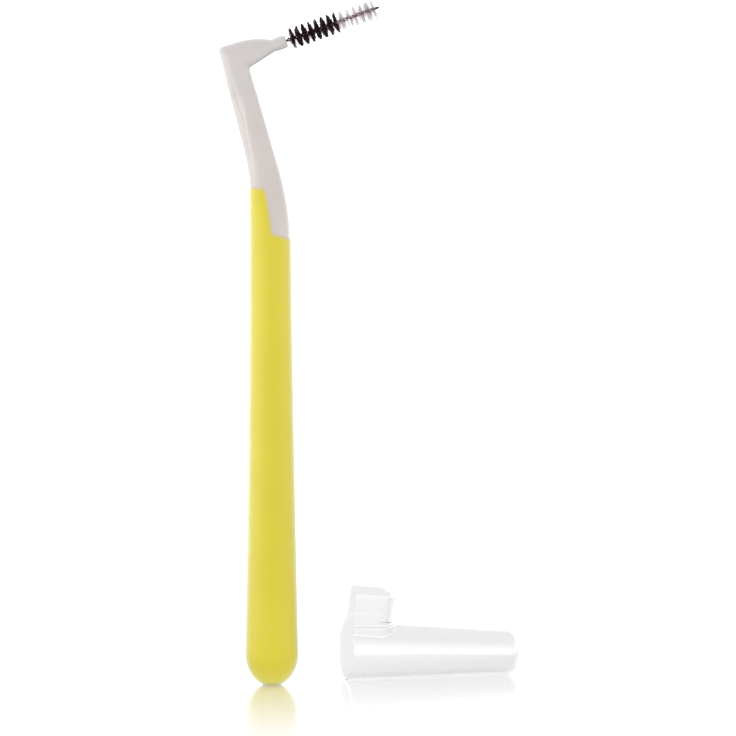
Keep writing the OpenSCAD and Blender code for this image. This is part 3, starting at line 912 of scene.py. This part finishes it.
def filaments(b, start, run, a_turn, thick, loose, rng, kept):
    """Points and faces of bristles on both sides of the wire, and each point's share out.

    A bristle at z points out at the angle of the twist there, give or take the looseness,
    and two slow waves draw the bristles together. Of those at z the share kept(z) stays, and
    fewer of those that point out of the brush's plane. Each is a square bar in five rings,
    which bends a little to one side and narrows at its end.
    """
    place_jitter, lean_size, swing_size = 0.03 * MM, 0.02, 0.022
    trim, trim_power = 0.22, 2.5  # the most that is trimmed off, and how rare that is
    kept_sideways = 0.4  # share that stays of those that point straight out of the plane
    t = np.array([0, 0.35, 0.7, 0.97, 1.0])
    wide = np.array([1.3, 1.2, 1.05, 0.75, 0.4]) * thick / 2

    places = int(run / b.pitch * a_turn)
    z = np.repeat(start + (np.arange(places) + 0.5) * run / places, 2)
    n = len(z)
    twist = 2 * np.pi / b.pitch * z
    wave = 0.17 * np.sin(1.43 * twist + 2 * rng.random()) + 0.13 * np.sin(2.6 * twist + 1)
    angle = twist + np.tile([0.0, np.pi], places) + wave + rng.normal(0, loose, n)
    z = z + rng.normal(0, place_jitter, n)
    reach = b.brush_d / 2 * (1 - trim * rng.random(n) ** trim_power)
    lean = rng.normal(0, lean_size, n)
    swing = rng.normal(0, swing_size, n)
    keep = rng.random(n) < kept(z) * mix(kept_sideways, 1, np.cos(angle) ** 2)
    z, angle, reach, lean, swing = (v[keep][:, None] for v in (z, angle, reach, lean, swing))
    n = len(z)

    root = b.strand_d * 0.3  # inside the wire
    out = root + (reach - root) * t
    bend = angle + swing * t ** 2
    along = z + lean * out * t
    radial = np.stack([np.cos(bend), np.sin(bend), 0 * bend], -1)
    around = np.stack([-np.sin(bend), np.cos(bend), 0 * bend], -1)
    axial = np.array([0, 0, 1.0])
    centre = radial * out[..., None] + axial * along[..., None]
    corner = np.array([[1, 0], [0, 1], [-1, 0], [0, -1]])
    points = (centre[:, :, None]
              + around[:, :, None] * (corner[:, 0] * wide[:, None])[None, :, :, None]
              + axial * (corner[:, 1] * wide[:, None])[None, :, :, None])
    rows = len(t)
    last = 4 * rows
    one = np.concatenate([quads(rows, 4)[:, ::-1], [[0, 1, 2, 3]],
                          [[last - 1, last - 2, last - 3, last - 4]]])
    faces = (np.arange(n) * last)[:, None, None] + one[None]
    share_out = np.broadcast_to(t[None, :, None], (n, rows, 4))
    return points.reshape(-1, 3), [faces.reshape(-1, 4)[:, ::-1]], share_out.ravel()


class BRUSH_OT_bristles(Maker, Operator):
    """Build the black and the clear bristles as fine separate filaments"""

    bl_idname = "brush.bristles"
    bl_label = "Bristles"

    black_loose, clear_loose = 0.19, 0.42  # spread of the bristles' angles, in radians
    nose_kept, nose_run = 0.3, 2.6 * MM  # share of the black ones at the nose, and how far
    last_kept, last_run = 0.5, 0.6 * MM  # the same in their last tuft
    clear_first = 0.75  # share of the clear ones where they start

    def execute(self, context):
        s, b = context.scene.handle_sizes, context.scene.brush_sizes
        f = context.scene.finishes
        origin, axes = wire_axes(s)
        rng = np.random.default_rng(b.seed)
        black_start = b.bare_root
        clear_start = b.bare_root + b.black_len
        clear_len = b.wire_len - clear_start - b.bare_tip - b.tip_r

        def black_kept(z):
            """Fewer at the nose and in the last tuft."""
            first = mix(self.nose_kept, 1.0, ease((z - black_start) / self.nose_run))
            return first * mix(self.last_kept, 1.0, ease((clear_start - z) / self.last_run))

        def clear_kept(z):
            """Fewer beside the black ones."""
            return mix(self.clear_first, 1.0, ease((z - clear_start) / clear_len))

        points, faces, reach = filaments(b, black_start, b.black_len, b.black_turn, b.black_d,
                                         self.black_loose, rng, black_kept)
        piece("black_filaments", origin + points @ axes, faces, black_filament(f), "brush",
              "black_filament", ["black_bristles"], reach=reach)
        points, faces, reach = filaments(b, clear_start, clear_len, b.clear_turn, b.clear_d,
                                         self.clear_loose, rng, clear_kept)
        piece("clear_filaments", origin + points @ axes, faces, clear_filament(f), "brush",
              "clear_filament", ["clear_bristles"], reach=reach)
        return {"FINISHED"}


def turned(axis, angle):
    """Matrix of a right-handed turn about an axis."""
    co, si = math.cos(angle), math.sin(angle)
    return np.array({"Z": [[co, -si, 0], [si, co, 0], [0, 0, 1]],
                     "Y": [[co, 0, si], [0, 1, 0], [-si, 0, co]]}[axis])


class BRUSH_OT_cap(Maker, Operator):
    """Build the clear cap with its channel, collar and foot"""

    bl_idname = "brush.cap"
    bl_label = "Cap"

    straight, bend, seam = 30, 104, 8  # points along the channel, round it and behind it
    shell_rows, far_rows, end_rows = 44, 34, 12  # rings beside, behind and round the end
    behind = 1.6 * MM  # room between the foot and the first plain ring
    shell_power = 1.3  # more than 1 crowds the rings beside the foot
    bow_share = 0.48  # the most of an edge that the bow at its end takes
    rim_power = 0.55  # less than 1 makes the rim squarer
    steepest = 0.98  # sine of the steepest tilt of the rim over the collar
    steps_inside, steps_outside = (28,), (12, 4, 4)  # rows down each straight stretch

    def execute(self, context):
        c = context.scene.cap_sizes
        grids = [*self.wall(c, True), *self.wall(c, False)]
        grids.append(self.rim(c, grids[0], grids[2]))
        points, faces, skin, at = [], [], [], 0
        for grid, outside in zip(grids, (1, 1, 0, 0, 1)):
            rows, columns = grid.shape[:2]
            points.append(grid.reshape(-1, 3))
            faces.append(quads(rows, columns, at, False))
            skin.append(np.full(rows * columns, outside))
            at += rows * columns
        points = self.lay(c, context.scene.handle_sizes, np.concatenate(points))
        piece("clear_cap", points, faces, clear_plastic(context.scene.finishes), "cap",
              "clear_plastic", ["cap"], skin=np.concatenate(skin))
        return {"FINISHED"}

    def taper(self, c):
        return (c.mouth_r - c.end_r) / (c.cap_len - c.corner_r)

    def surface_r(self, c, z, outside):
        """Radius of the tube's outer or inner surface at the distance z from the mouth."""
        r = c.mouth_r - self.taper(c) * z
        if outside:
            return r
        return np.where(z < c.land, c.mouth_r - c.wall, r - c.wall)

    def channel_side(self, c):
        """Where the channel's round starts, and distances along its straight side."""
        far = c.channel_len - c.channel_w / 2
        return far, np.linspace(c.wall / 2, far, self.straight, endpoint=False)

    def outline(self, c, grow):
        """The channel seen from above, as [along, across], from the mouth round to the mouth."""
        far, z = self.channel_side(c)
        b = np.linspace(-np.pi / 2, np.pi / 2, self.bend + 2 * self.seam)
        r = c.channel_w / 2 + grow
        left = np.stack([z, np.full_like(z, -r)], -1)
        end = np.stack([far + r * np.cos(b), r * np.sin(b)], -1)
        return np.concatenate([left, end, left[::-1] * [1, -1]])

    def top_edge(self, c, z):
        """Height of the collar's top, and its outward direction, at the distance z."""
        back = c.channel_len + c.wall
        top = c.collar_h - back * math.tan(c.collar_slope)
        knee = back - c.collar_r
        flat = mix(c.collar_h, top, z / knee)
        drop = np.clip((z - knee) / c.collar_r, 0, 1)
        height = np.where(z < knee, flat, top - c.collar_r * (1 - np.sqrt(1 - drop ** 2)))
        tilt = np.arcsin(np.minimum(drop, self.steepest))
        return height, np.stack([np.cos(tilt), 0 * tilt, np.sin(tilt)], -1)

    def far_line(self, c, z_far):
        """Where the grid beside the channel ends, as [angle, along].

        It runs up the seam under the tube, round a ring and down the seam again.
        """
        far, z = self.channel_side(c)
        rise = np.linspace(far, z_far, self.seam, endpoint=False)
        ring = np.linspace(-np.pi, np.pi, self.bend)
        left = np.stack([np.full(len(z) + len(rise), -np.pi), np.concatenate([z, rise])], -1)
        across = np.stack([ring, np.full_like(ring, z_far)], -1)
        return np.concatenate([left, across, left[::-1] * [-1, 1]])

    def wall(self, c, outside):
        """The tube and the collar as one grid [across the wall, along the channel's outline].

        Each column starts at the collar's top and comes down its side. Outside it crosses
        the foot. Then it runs over the tube to the seam or to a ring behind the channel.
        Corners are rounded by bows of second degree.
        """
        sheet = self.outline(c, c.wall if outside else 0.0)
        height, _ = self.top_edge(c, sheet[:, 0])
        corners = [np.stack([height - c.wall / 2, sheet[:, 1], sheet[:, 0]], -1)]
        landing, steps = sheet, self.steps_inside
        if outside:
            landing, steps = self.outline(c, c.wall + c.foot_w), self.steps_outside
            ledge = c.mouth_r + c.foot_h
            corners += [np.stack([0 * height + ledge, line[:, 1], line[:, 0]], -1)
                        for line in (sheet, landing)]
        r = self.surface_r(c, landing[:, 0], outside)
        angle = np.arcsin(np.clip(landing[:, 1] / r, -1, 1))
        corners.append(np.stack([r * np.cos(angle), landing[:, 1], landing[:, 0]], -1))
        z_far = c.channel_len + c.wall + c.foot_w + self.behind
        far = self.far_line(c, z_far)
        start = np.stack([angle, landing[:, 0]], -1)
        span = np.hypot(r * (far - start)[:, 0], (far - start)[:, 1])
        first = (c.fillet / span)[None, :, None]
        rows = np.linspace(0, 1, self.shell_rows)[:, None, None] ** self.shell_power
        flat = mix(start, far, mix(first, 1, rows))
        rr = self.surface_r(c, flat[..., 1], outside)
        over = np.stack([rr * np.cos(flat[..., 0]), rr * np.sin(flat[..., 0]), flat[..., 1]], -1)
        down = self.rounded(corners, over[0], c.fillet, steps)
        return np.concatenate([down[:-1], over]), self.far_end(c, z_far, outside)

    def far_end(self, c, z_far, outside):
        """The tube behind the channel and its rounded closed end, as rings from -pi to pi."""
        inset = 0 if outside else c.wall
        round_r = c.corner_r if outside else c.corner_r - c.wall / 2
        end_r, knee = c.end_r - inset, c.cap_len - inset - round_r
        z = np.linspace(z_far, knee, self.far_rows)
        near_r = float(self.surface_r(c, np.array(z_far), outside))
        q = np.linspace(0, np.pi / 2, self.end_rows)[1:]
        flat = (end_r - round_r) * np.array([0.75, 0.5, 0.25, 0.0])
        along = np.concatenate([z, knee + round_r * np.sin(q),
                                np.full(len(flat), knee + round_r)])
        r = np.concatenate([mix(near_r, end_r, (z - z_far) / (knee - z_far)),
                            end_r - round_r * (1 - np.cos(q)), flat])[:, None]
        a = np.linspace(-np.pi, np.pi, self.bend)
        return np.stack([r * np.cos(a), r * np.sin(a),
                         np.broadcast_to(along[:, None], (len(along), len(a)))], -1)

    def rounded(self, corners, last, r, steps):
        """Rows down a bent line, each corner rounded by a bow that starts r before it."""
        def short_of(corner, other):
            gap = np.linalg.norm(other - corner, axis=-1, keepdims=True)
            return corner + (other - corner) / gap * np.minimum(r, gap * self.bow_share)

        rows, here = [], corners[0]
        for k, corner in enumerate(corners[1:], 1):
            a = short_of(corner, here)
            b = short_of(corner, corners[k + 1]) if k < len(corners) - 1 else last
            rows += [mix(here, a, t) for t in np.linspace(0, 1, steps[k - 1])[:-1]]
            rows += [mix(mix(a, corner, t), mix(corner, b, t), t)
                     for t in np.linspace(0, 1, 6)[:-1]]
            here = b
        return np.stack([*rows, here])

    def rim(self, c, outer, inner):
        """The edge between the two grids, along both sides of the mouth and over the collar.

        It is a squarish half-round: from the middle, a power of the cosine towards the outer
        grid's edge, and of the sine outwards by half the wall.
        """
        def border(grid):
            return np.concatenate([grid[::-1, 0], grid[0, 1:-1], grid[:, -1]])

        a, b = border(outer), border(inner)
        rows, columns = outer.shape[:2]
        out = np.tile([0.0, 0.0, -1.0], (len(a), 1))
        out[rows:rows + columns - 2] = self.top_edge(c, outer[0, :, 2])[1][1:-1]
        for corner in (rows - 1, rows + columns - 2):
            out[corner] = np.array([1.0, 0, -1.0]) / math.sqrt(2)
        q = np.linspace(0, np.pi, 13)[:, None, None]
        towards = np.sign(np.cos(q)) * np.abs(np.cos(q)) ** self.rim_power
        outwards = np.abs(np.sin(q)) ** self.rim_power
        towards[0], outwards[0], towards[-1], outwards[-1] = 1, 0, -1, 0
        return (a + b) / 2 + (a - b) / 2 * towards + out * outwards * c.wall / 2

    def lay(self, c, s, points):
        """Turns the cap from its own frame to where it lies on the table."""
        tilt = math.atan(self.taper(c))
        for axis, angle in (("Z", math.pi + c.roll), ("Y", math.pi / 2 + tilt), ("Z", c.yaw)):
            points = points @ turned(axis, angle).T
        return points + [s.heel_w / 2 + c.side, c.back, c.mouth_r * math.cos(tilt)]


# Stage


class BRUSH_OT_stage(Maker, Operator):
    """Build the pale floor, the soft light and the camera"""

    bl_idname = "brush.stage"
    bl_label = "Stage"

    def execute(self, context):
        scene, f = context.scene, context.scene.finishes
        self.floor(scene, f)
        self.room(scene, f)
        self.lamp(scene, "left lamp", (-0.455, -0.064, 0.19), (0.50, 0.38), f.left_lamp)
        self.lamp(scene, "front lamp", (0.05, -0.90, 0.43), (0.90, 0.42), f.front_lamp)
        self.camera(scene)
        scene.view_settings.view_transform = "Standard"
        return {"FINISHED"}

    def floor(self, scene, f):
        """A white floor that looks its own way to each kind of ray.

        The camera sees an even white that takes some shadow near the object, and over it a
        blurred mirror that fades out in front. Rays through the cap see that white alone.
        Gloss sees the floor brighter in front and far to the sides. The light that the floor
        sends up is stronger near the heel. Right under the heel both are dark.
        """
        mesh = bpy.data.meshes.new("floor")
        e, z = 4.0, -0.02 * MM
        mesh.from_pydata([(-e, -e, z), (e, -e, z), (e, e, z), (-e, e, z)], [], [(0, 1, 2, 3)])
        made = bpy.data.objects.new("floor", mesh)
        scene.collection.objects.link(made)
        material = bpy.data.materials.new("floor")
        mesh.materials.append(material)
        material.use_nodes = True
        tree = material.node_tree
        tree.nodes.clear()
        rays, place = add_node(tree, "LightPath").outputs, object_place(tree)
        split = add_node(tree, "SeparateXYZ", {0: place}).outputs
        distance = add_node(tree, "VectorMath", {0: place}, operation="LENGTH").outputs["Value"]

        def glow(strength):
            return add_node(tree, "Emission", {"Strength": strength}).outputs[0]

        under = spread(tree, distance, (0.0012, 0.0036), (0.4, 1.0))
        front = spread(tree, split["Y"], (-0.045, 0.008), (f.floor_far, f.floor_near))
        left = spread(tree, split["X"], (-0.25, -0.04), (f.floor_left, 0.0))
        right = spread(tree, split["X"], (0.1, 0.4), (0.0, f.floor_right))
        to_gloss = calculated(tree, "ADD", front, calculated(tree, "ADD", left, right))
        to_object = spread(tree, distance, (0.004, 0.026), (f.floor_close, f.floor_light))
        paper = add_node(tree, "BsdfDiffuse", {"Color": (0.69, 0.69, 0.69, 1)}).outputs[0]
        mirror = add_node(tree, "BsdfGlossy", {"Color": (1, 1, 1, 1), "Roughness": 0.14})
        shadowed = spread(tree, distance, (0.06, 0.16), (f.shadow, 0.0))
        mirrored = spread(tree, split["Y"], (-0.08, 0.0), (0.0, f.mirror))

        lit = mixed_shader(tree, shadowed, glow(1.03), paper)
        seen = mixed_shader(tree, mirrored, lit, mirror.outputs[0])
        sent = mixed_shader(tree, rays["Is Glossy Ray"],
                            glow(calculated(tree, "MULTIPLY", to_object, under)),
                            glow(calculated(tree, "MULTIPLY", to_gloss, under)))
        clear = mixed_shader(tree, rays["Is Transmission Ray"], sent, lit)
        top = mixed_shader(tree, rays["Is Camera Ray"], clear, seen)
        add_node(tree, "OutputMaterial", {"Surface": top})

    def room(self, scene, f):
        """Light from all round, stronger from behind and above.

        Gloss sees more at the horizon and on the left. The camera and the cap see white.
        """
        scene.world = bpy.data.worlds.new("room")
        scene.world.use_nodes = True
        tree = scene.world.node_tree
        rays = add_node(tree, "LightPath").outputs
        place = add_node(tree, "TexCoord").outputs["Generated"]
        split = add_node(tree, "SeparateXYZ", {0: place}).outputs
        soft = calculated(tree, "ADD",
                          spread(tree, split["Y"], (-1, 1), (f.room_front, f.room_back)),
                          spread(tree, split["Z"], (0.1, 0.9), (0.0, f.room_top)))
        gloss = spread(tree, split["Y"], (-0.8, 0.6), (f.gloss_front, f.gloss_back))
        for value, source, most in ((split["Z"], (0.15, 0.75), f.gloss_low),
                                    (split["X"], (-0.9, -0.45), f.gloss_left)):
            gloss = calculated(tree, "ADD", gloss, spread(tree, value, source, (most, 0.0)))
        strength = mixed_value(tree, rays["Is Glossy Ray"], soft, gloss)
        white = calculated(tree, "MAXIMUM", rays["Is Camera Ray"], rays["Is Transmission Ray"])
        feed(tree, tree.nodes["Background"], {
            "Color": (1, 1, 1, 1), "Strength": mixed_value(tree, white, strength, 1.0)})

    def lamp(self, scene, name, place, size, radiance):
        """A soft rectangle that faces the object. Its power is pi times area and radiance."""
        light = bpy.data.lights.new(name, "AREA")
        light.shape = "RECTANGLE"
        light.size, light.size_y = size
        light.energy = math.pi * size[0] * size[1] * radiance
        made = bpy.data.objects.new(name, light)
        scene.collection.objects.link(made)
        made.visible_camera = False
        made.visible_glossy = False
        made.location = place
        aim = Vector((0.01, 0, 0.065)) - Vector(place)
        made.rotation_euler = aim.to_track_quat("-Z", "Y").to_euler()

    def camera(self, scene):
        """A long lens that looks down on the object by 6.7 degrees, 147.2 mm across."""
        data = bpy.data.cameras.new("camera")
        data.lens, data.sensor_width = 400, 36
        data.clip_start, data.clip_end = 0.1, 20
        down, field = math.radians(6.7), 147.2 * MM
        away = field / 2 / (data.sensor_width / 2 / data.lens)
        aim = Vector((19.3 * MM, 0, 63.54 * MM / math.cos(down)))
        back = Vector((0, -math.cos(down), math.sin(down)))
        made = bpy.data.objects.new("camera", data)
        scene.collection.objects.link(made)
        made.location = aim + back * away
        made.rotation_euler = (-back).to_track_quat("-Z", "Y").to_euler()
        scene.camera = made


# Panel and registration


GROUPS = (("handle_sizes", HandleSizes), ("brush_sizes", BrushSizes),
          ("cap_sizes", CapSizes), ("finishes", Finishes))
MAKERS = (BRUSH_OT_stage, BRUSH_OT_neck, BRUSH_OT_grip, BRUSH_OT_wire, BRUSH_OT_bristles,
          BRUSH_OT_cap)


class BRUSH_PT_pieces(Panel):
    """Buttons for the pieces, and their sizes and finishes"""

    bl_idname = "BRUSH_PT_pieces"
    bl_label = "Interdental brush"
    bl_space_type = "VIEW_3D"
    bl_region_type = "UI"
    bl_category = "Brush"

    def draw(self, context):
        for maker in MAKERS:
            self.layout.operator(maker.bl_idname)
        for key, group in GROUPS:
            box = self.layout.box()
            for name in group.__annotations__:
                box.prop(getattr(context.scene, key), name)


CLASSES = (*(group for _, group in GROUPS), *MAKERS, BRUSH_PT_pieces)


def register():
    for item in CLASSES:
        bpy.utils.register_class(item)
    for key, group in GROUPS:
        setattr(bpy.types.Scene, key, PointerProperty(type=group))


def unregister():
    for key, _ in GROUPS:
        delattr(bpy.types.Scene, key)
    for item in reversed(CLASSES):
        bpy.utils.unregister_class(item)


def main():
    register()
    bpy.ops.brush.stage()
    bpy.ops.brush.neck()
    bpy.ops.brush.grip()
    bpy.ops.brush.wire()
    bpy.ops.brush.bristles()
    bpy.ops.brush.cap()


if __name__ == "__main__":
    main()
